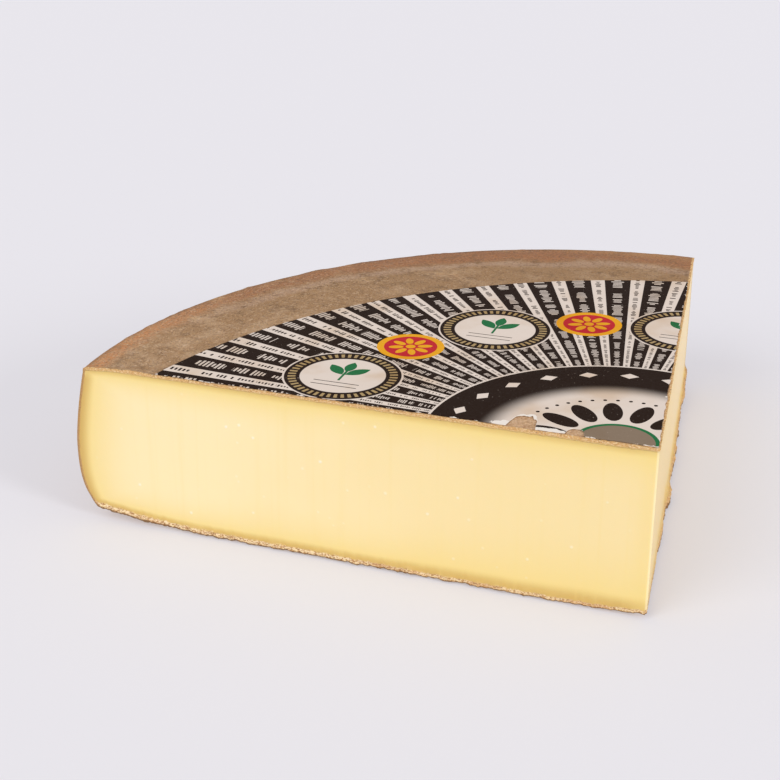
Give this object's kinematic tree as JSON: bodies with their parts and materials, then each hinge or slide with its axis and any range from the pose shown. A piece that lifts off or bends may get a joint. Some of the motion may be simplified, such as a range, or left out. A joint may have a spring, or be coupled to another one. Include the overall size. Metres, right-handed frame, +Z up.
{
  "type": "comte cheese",
  "caption": "Large wedge of a hard aged cheese wheel: smooth pale yellow cut faces, rough brown rind on its face, foot and heel, and a striped paper label on the upper face.",
  "frame": {"origin": "on the surface the cheese rests on, under the middle of its box", "axes": "+Z up through the thickness; the long front cut faces -Y; +X runs along it towards the tip; the heel is at the back left"},
  "size_m": [0.3793, 0.3569, 0.1135],
  "materials": {
    "cheese": "satin pale yellow paste on the cuts, dry rough brown rind elsewhere",
    "label": "matt printed paper, black and cream"
  },
  "bodies": {
    "root": {"cheese": "cheese", "label": "label"}
  },
  "joints": []
}
